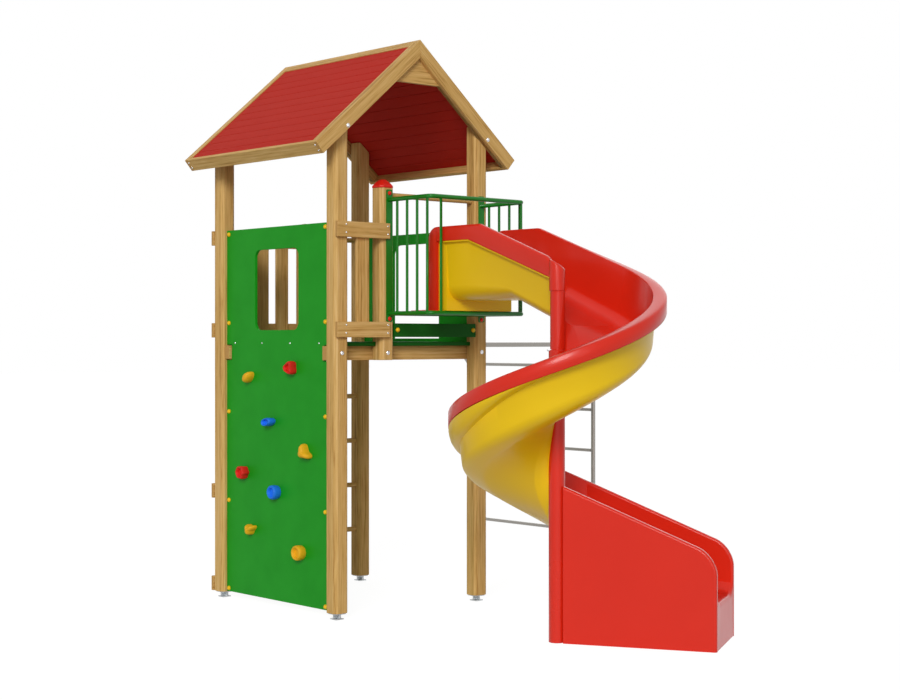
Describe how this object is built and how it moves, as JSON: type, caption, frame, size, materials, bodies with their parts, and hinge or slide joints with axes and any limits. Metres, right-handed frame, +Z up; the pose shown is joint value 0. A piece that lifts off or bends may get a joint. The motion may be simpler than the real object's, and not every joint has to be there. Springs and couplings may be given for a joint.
{
  "type": "playground tower with spiral slide",
  "caption": "Roofed timber play tower with a spiral slide round a column, a climbing panel, a ladder and a steel arch climber.",
  "frame": {"origin": "middle of the underside of the front left post's foot, on the ground", "axes": "+X along the front from the left post to the right post, +Y from the slide's side to the ladder's side, +Z up"},
  "size_m": [2.2133, 3.1782, 3.181],
  "materials": {
    "timber": "glued pine, clear finish",
    "roof_red": "red painted boards",
    "green_panel": "through-coloured sheet",
    "deck_green": "through-coloured board",
    "green_steel": "powder coat",
    "slide_red": "moulded",
    "slide_yellow": "moulded",
    "column_red": "powder coat",
    "stainless": "brushed",
    "galvanised": "hot-dip zinc",
    "cap_red": "moulded",
    "hold_yellow": "cast resin",
    "hold_blue": "cast resin",
    "hold_red": "cast resin"
  },
  "bodies": {
    "root": {"back_barge_boards": "timber", "back_beam": "timber", "back_gable_frame": "timber", "back_left_post": "timber", "back_lower_boards": "timber", "back_lower_planks": "timber", "back_right_post": "timber", "back_upper_boards": "timber", "back_upper_planks": "timber", "cage_railing": "green_steel", "climber_rungs": "stainless", "climber_tubes": "stainless", "climbing_holds_blue": "hold_blue", "climbing_holds_red": "hold_red", "climbing_holds_yellow": "hold_yellow", "climbing_panel": "green_panel", "deck": "deck_green", "floor_joists": "timber", "front_barge_boards": "timber", "front_beam": "timber", "front_board": "timber", "front_gable_frame": "timber", "front_left_post": "timber", "front_planks": "timber", "front_right_post": "timber", "grab_bar": "timber", "ladder_post": "timber", "ladder_rungs": "timber", "left_fascia": "timber", "left_slope": "roof_red", "middle_post": "timber", "portal_panel": "green_panel", "post_caps": "cap_red", "post_feet": "galvanised", "ridge_boards": "timber", "right_fascia": "timber", "right_slope": "roof_red", "slide_column": "column_red", "slide_entry_liner": "slide_red", "slide_entry_shell": "slide_yellow", "slide_exit": "slide_red", "slide_hand_bar": "timber", "slide_turn_liner": "slide_red", "slide_turn_shell": "slide_yellow", "threshold_board": "green_panel"}
  },
  "joints": []
}
